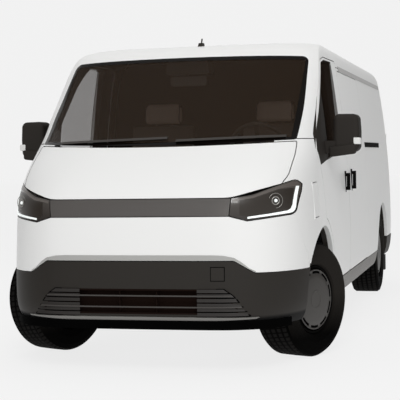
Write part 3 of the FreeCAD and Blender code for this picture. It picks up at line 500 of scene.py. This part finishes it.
# Lamp details: a bezel along the top edge, a bent white daytime light and a projector with its
# two rings, all on a dark inner plate. They sit on the lamp's face as seen through its cover.
LENS_PLACE, LENS_RADIUS, RING_TURN = (0.775, -0.652, 0.985), 0.010, math.radians(32)
bezel_grey, shader, place = finish_of("lamp_bezel", (0.115, 0.10, 0.09), 0.3)
grain(place, shader, 200.0, 0.05, 0.0003)
inner_black, shader, place = finish_of("lamp_inside", (0.030, 0.024, 0.019), 0.35)
grain(place, shader, 200.0, 0.05, 0.0003)
light_white, shader, place = finish_of("daytime_light", (0.9, 0.93, 0.92), 0.25,
                                       Emission_Color=(0.93, 1.0, 0.98, 1), Emission_Strength=0.35)
grain(place, shader, 200.0, 0.05, 0.0003)
chrome, shader, place = finish_of("lens_metal", (0.30, 0.29, 0.27), 0.3, Metallic=0.6)
grain(place, shader, 200.0, 0.05, 0.0003)
for side, label in SIDES:
    inside = laid_on("lamp_inside_" + label, "headlamps",
                     [(0.592, 0.912), (0.640, 0.900), (0.838, 0.936), (0.846, 0.960)],
                     [(0.592, 0.992), (0.660, 1.000), (0.786, 1.048), (0.852, 1.052)],
                     columns=24, rows=8, lift=0.001, depth=0.001, side=side)
    finished(inside, inner_black, "body")
    bezel = laid_on("lamp_bezel_" + label, "headlamps",
                    [(0.552, 0.986), (0.660, 1.004), (0.786, 1.052), (0.850, 1.062), (0.868, 1.060)],
                    [(0.552, 0.998), (0.660, 1.016), (0.788, 1.068), (0.850, 1.090), (0.868, 1.078)],
                    columns=24, rows=2, lift=0.0015, depth=0.001, side=side)
    finished(bezel, bezel_grey, "body")
    strip = laid_on("daytime_light_" + label, "headlamps",
                    [(0.634, 0.888), (0.748, 0.901), (0.842, 0.911), (0.857, 0.918), (0.864, 0.938), (0.871, 1.062)],
                    [(0.634, 0.899), (0.748, 0.913), (0.830, 0.925), (0.844, 0.936), (0.851, 0.958), (0.859, 1.062)],
                    columns=40, rows=2, lift=0.003, depth=0.003, side=side)
    finished(strip, light_white, "body")
    lens_x, lens_y, lens_z = side * LENS_PLACE[0], FRONT_AXLE + LENS_PLACE[1], LENS_PLACE[2]
    for part, radius, thick, ahead in (("ring", 0.042, 0.0016, 0.002), ("inner_ring", 0.022, 0.0035, 0.006)):
        bpy.ops.object.select_all(action="DESELECT")
        bpy.ops.mesh.primitive_torus_add(major_radius=radius, minor_radius=thick,
                                         major_segments=40, minor_segments=8)
        torus = bpy.context.object
        torus.name = "projector_" + part + "_" + label
        face = Matrix.Rotation(side * RING_TURN, 4, "Z") @ Matrix.Rotation(math.radians(90), 4, "X")
        torus.data.transform(Matrix.Translation((lens_x, lens_y - ahead, lens_z)) @ face)
        finished(torus, chrome, "body")
    bpy.ops.object.select_all(action="DESELECT")
    bpy.ops.mesh.primitive_uv_sphere_add(radius=LENS_RADIUS, segments=24, ring_count=12)
    eye = bpy.context.object
    eye.name = "projector_lens_" + label
    eye.data.transform(Matrix.Translation((lens_x, lens_y, lens_z)))
    bpy.ops.object.shade_smooth()
    finished(eye, light_white, "body")

# Tail lamps: tall red lenses moulded over a ribbed reflector and screwed to the rear corners. The
# ribs show through the lens as darker lines.
LENS_RIBS = 260.0
lens, shader, place = finish_of("red_lens", (0.45, 0.012, 0.012), 0.15, Coat_Weight=0.7)
ribs = place.axis(2).wave(LENS_RIBS)
mixed(ribs * 0.5 + 0.5, (0.30, 0.006, 0.006), (0.55, 0.02, 0.018)).into(shader, "Base Color")
dress(lens, ["tail_lamps"])

# Cab: grained dark mouldings for the dashboard, the steering wheel and the inner mirror, and seats
# in woven cloth over foam.
cab, shader, place = finish_of("cab_plastic", (0.034, 0.026, 0.020), 0.65)
grain(place, shader, 700.0, 0.2, 0.0004)
dress(cab, ["dashboard", "steering_wheel", "inner_mirror"])
cloth, shader, place = finish_of("seat_fabric", (0.12, 0.095, 0.077), 0.9)
grain(place, shader, 1200.0, 0.4, 0.0006)
dress(cloth, ["seats"])

# Headrests: foam blocks covered in a paler cloth, soft at every edge. They are set over the plain
# ones of the seats. The block made here also serves the small box-shaped pieces below.
REST_X, REST_Y, REST_Z = 0.42, 1.258, 1.563
REST_WIDTH, REST_DEPTH, REST_HEIGHT, REST_TAPER, REST_ROUND = 0.27, 0.105, 0.15, 0.02, 0.038
rest_cloth, shader, place = finish_of("headrest_fabric", (0.62, 0.48, 0.39), 0.9)
grain(place, shader, 1200.0, 0.4, 0.0006)


def block(name, shape, edge=0.0, steps=3):
    bpy.ops.object.select_all(action="DESELECT")
    bpy.ops.mesh.primitive_cube_add(size=1)
    piece = bpy.context.object
    piece.name = name
    for corner in piece.data.vertices:
        corner.co = shape(*corner.co)
    if edge:
        bevel = piece.modifiers.new("edges", "BEVEL")
        bevel.width = edge
        bevel.segments = steps
        bpy.ops.object.modifier_apply(modifier="edges")
    return piece


for side, label in SIDES:
    rest = block("headrest_" + label, lambda x, y, z: (
        side * REST_X + x * (REST_WIDTH - REST_TAPER * z), FRONT_AXLE + REST_Y + y * REST_DEPTH + REST_TAPER * z,
        REST_Z + z * REST_HEIGHT), REST_ROUND, 5)
    bpy.ops.object.shade_smooth()
    finished(rest, rest_cloth, "body")

# Mirror repeaters: clear turn signals, let into the outer ends of the mirror housings and clipped
# from behind.
REPEATER_AT, REPEATER_SIZE = (1.131, 0.285, 1.3255), (0.040, 0.09, 0.042)
clear, shader, place = finish_of("clear_lens", (0.80, 0.80, 0.78), 0.25)
grain(place, shader, 200.0, 0.05, 0.0003)
for side, label in SIDES:
    lens_piece = block("repeater_" + label, lambda x, y, z: (
        side * (REPEATER_AT[0] + x * REPEATER_SIZE[0]), FRONT_AXLE + REPEATER_AT[1] + y * REPEATER_SIZE[1],
        REPEATER_AT[2] + z * REPEATER_SIZE[2]), 0.006)
    finished(lens_piece, clear, "front_door_set_" + label)

# Handle inserts: black blocks set behind the pull bars, filling the finger gap as painted shade of
# the gap.
FILLER_OUT, FILLER_THICK, FILLER_WIDTH, FILLER_LOW = 0.962, 0.010, 0.018, 0.992
for side, label in SIDES:
    door = "front_door_set_" + label
    for part, filler_y, filler_high, body in (("front_", 1.091, 1.108, door), ("slide_", 1.433, 1.118, "body")):
        # Painted shade: each block darkens the gap between the pull bar and its plate.
        gap_shade = block("handle_gap_shade_" + part + label, lambda x, y, z: (
            side * (FILLER_OUT + x * FILLER_THICK), FRONT_AXLE + filler_y + y * FILLER_WIDTH,
            (FILLER_LOW + filler_high) / 2 + z * (filler_high - FILLER_LOW)))
        finished(gap_shade, handle_black, body)

# Mirror feet: the plastic arms that carry the housings, screwed to the corner of the door through
# the sail plate. They rise a little towards the housing.
FOOT_AT, FOOT_SIZE, FOOT_RISE = (1.040, 0.262, 1.268), (0.17, 0.06, 0.066), 0.02
for side, label in SIDES:
    foot = block("mirror_foot_" + label, lambda x, y, z: (
        side * (FOOT_AT[0] + x * FOOT_SIZE[0]), FRONT_AXLE + FOOT_AT[1] + y * FOOT_SIZE[1],
        FOOT_AT[2] + z * FOOT_SIZE[2] + x * FOOT_RISE), 0.014)
    bpy.ops.object.shade_smooth_by_angle(angle=SOFT_ANGLE)
    finished(foot, mirror_plastic, "front_door_set_" + label)

# Structure: dark brown primer on the welded frame and on the wall behind the cab, and a rough
# dark coating underneath. The motor's housing is cast alloy, and knuckles and struts are iron.
primer, shader, place = finish_of("primer", (0.022, 0.0135, 0.0085), 0.85, Specular_IOR_Level=0.05)
grain(place, shader, 40.0, 0.02, 0.0003)
dress(primer, ["bulkhead", "body_frame"])
coating, shader, place = finish_of("under_coating", (0.03, 0.03, 0.03), 0.7)
grain(place, shader, 150.0, 0.3, 0.001)
dress(coating, ["floor_pan", "battery_pack", "front_subframe", "rear_axle", "mudflaps"])
alloy, shader, place = finish_of("cast_alloy", (0.35, 0.35, 0.36), 0.5, Metallic=0.9)
grain(place, shader, 260.0, 0.3, 0.0006)
dress(alloy, ["drive_unit"])
iron, shader, place = finish_of("cast_iron", (0.12, 0.115, 0.11), 0.6, Metallic=0.7)
grain(place, shader, 260.0, 0.3, 0.0006)
dress(iron, ["knuckle_left", "knuckle_right", "front_struts"])

# Wheels: pressed steel rims in near black paint, bolted to the hubs. The front pair stands turned
# by 24 degrees, as parked.
HALF_TRACK, WHEEL_HEIGHT = 0.76, 0.3525
AXLES = (("front", 0.0, math.radians(-24)), ("rear", WHEELBASE, 0.0))
wheel, shader, place = finish_of("wheel_paint", (0.003, 0.0028, 0.0025), 0.9, Specular_IOR_Level=0.04)
grain(place, shader, 60.0, 0.05, 0.0005)
dress(wheel, [where + "_wheel_" + label for where, axle_y, steer in AXLES for side, label in SIDES])

# Tyres: black rubber, moulded with grooves round the tread and cross cuts between the blocks. The
# grooves are painted darker than the block tops as painted shade, and painted light makes the side
# walls paler above the hub.
TREAD_RADIUS, GROOVE_WAVE, CUTS, CUT_SLANT, GROOVE_SHARE, CUT_SHARE = 0.338, 150.0, 64.0, 30.0, -0.45, -0.7
WALL_DARK, WALL_LIGHT = -0.22, 0.02
for where, axle_y, steer in AXLES:
    for side, label in SIDES:
        rubber, shader, place = finish_of("tyre_rubber_" + where + "_" + label, (0.0014, 0.0012, 0.0011), 0.9,
                                          Specular_IOR_Level=0.04)
        hub = (side * HALF_TRACK, FRONT_AXLE + axle_y, WHEEL_HEIGHT)
        moved = place.node("ShaderNodeVectorMath", {"operation": "SUBTRACT"}, {0: place, 1: hub})
        turned = moved.node("ShaderNodeVectorRotate", {"rotation_type": "Z_AXIS"}, {"Vector": moved, "Angle": -steer})
        across, ahead, above = turned.axis(0), turned.axis(1), turned.axis(2)
        radius = above.node("ShaderNodeMath", {"operation": "SQRT"}, {0: ahead * ahead + above * above})
        angle = above.node("ShaderNodeMath", {"operation": "ARCTAN2"}, {0: above, 1: ahead})
        cuts = (angle * CUTS + across * CUT_SLANT).wave(1.0)
        block_top = (across.wave(GROOVE_WAVE) > GROOVE_SHARE) * (cuts > CUT_SHARE) * (radius > TREAD_RADIUS)
        bump = block_top.node("ShaderNodeBump", {}, {"Strength": 1.0, "Distance": 0.006, "Height": block_top})
        bump.into(shader, "Normal")
        # Painted light: the side walls pale towards the top of the wheel.
        lit = above.node("ShaderNodeMapRange", {}, {"Value": above, "From Min": WALL_DARK, "From Max": WALL_LIGHT})
        # Painted shade: the grooves are darker than the block tops.
        tread_painted_shade = mixed(block_top, (0.0008, 0.0007, 0.0006), (0.009, 0.0085, 0.008))
        wall = lit * (radius < TREAD_RADIUS)
        mixed(wall, tread_painted_shade, (0.020, 0.0178, 0.0158)).into(shader, "Base Color")
        dress(rubber, [where + "_tyre_" + label])

# Wheel covers: domed plastic discs that clip over the rims, with slots round the edge to cool the
# brakes. Their middles are bare.
COVER_PROFILE = [(0.0, 0.1095), (0.048, 0.1095), (0.050, 0.1115), (0.056, 0.1115), (0.058, 0.1095),
                 (0.130, 0.1085), (0.154, 0.1055), (0.160, 0.1020), (0.176, 0.1010), (0.180, 0.1025), (0.184, 0.1005)]
SLOT_START, SLOT_END, AROUND, SLOT_PITCH, SLOT_LENGTH = 0.160, 0.176, 120, 12, 9
COVER_OUT, COVER_THICK = 0.05, 0.002
cover_grey, shader, place = finish_of("cover_plastic", (0.050, 0.046, 0.042), 0.5)
grain(place, shader, 300.0, 0.1, 0.0004)
for where, axle_y, steer in AXLES:
    for side, label in SIDES:
        rings = len(COVER_PROFILE) - 1
        bpy.ops.object.select_all(action="DESELECT")
        bpy.ops.mesh.primitive_grid_add(x_subdivisions=AROUND, y_subdivisions=rings, size=2)
        disc = bpy.context.object
        disc.name = "wheel_cover_" + where + "_" + label
        for corner in disc.data.vertices:
            turn = (corner.co.x + 1) * math.pi
            radius, out = COVER_PROFILE[round((corner.co.y + 1) / 2 * rings)]
            corner.co = (side * out, radius * math.cos(turn), radius * math.sin(turn))
        bpy.ops.object.mode_set(mode="EDIT")
        bpy.ops.mesh.select_all(action="SELECT")
        bpy.ops.mesh.remove_doubles(threshold=0.00002)
        bpy.ops.mesh.normals_make_consistent(inside=False)
        bpy.ops.object.mode_set(mode="OBJECT")
        disc.data.materials.append(cover_grey)
        disc.data.materials.append(joint_and_shade_black)
        # The slots are not cut: black faces stand for the openings, as painted shade.
        for face in disc.data.polygons:
            middle = sum((disc.data.vertices[i].co for i in face.vertices), Vector()) / len(face.vertices)
            in_ring = SLOT_START < math.hypot(middle.y, middle.z) < SLOT_END
            step = int((math.atan2(middle.z, middle.y) + math.pi) / math.pi * AROUND / 2)
            face.material_index = 1 if in_ring and step % SLOT_PITCH < SLOT_LENGTH else 0
        plate = disc.modifiers.new("thickness", "SOLIDIFY")
        plate.thickness = COVER_THICK
        plate.offset = 1.0 if side > 0 else -1.0
        bpy.ops.object.modifier_apply(modifier="thickness")
        bpy.ops.object.shade_smooth_by_angle(angle=math.radians(30))
        hub = Matrix.Translation((side * HALF_TRACK, FRONT_AXLE + axle_y, 0)) @ Matrix.Rotation(steer, 4, "Z")
        disc.data.transform(hub @ Matrix.Translation((side * COVER_OUT, 0, WHEEL_HEIGHT)))
        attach(disc, where + "_wheel_set_" + label)
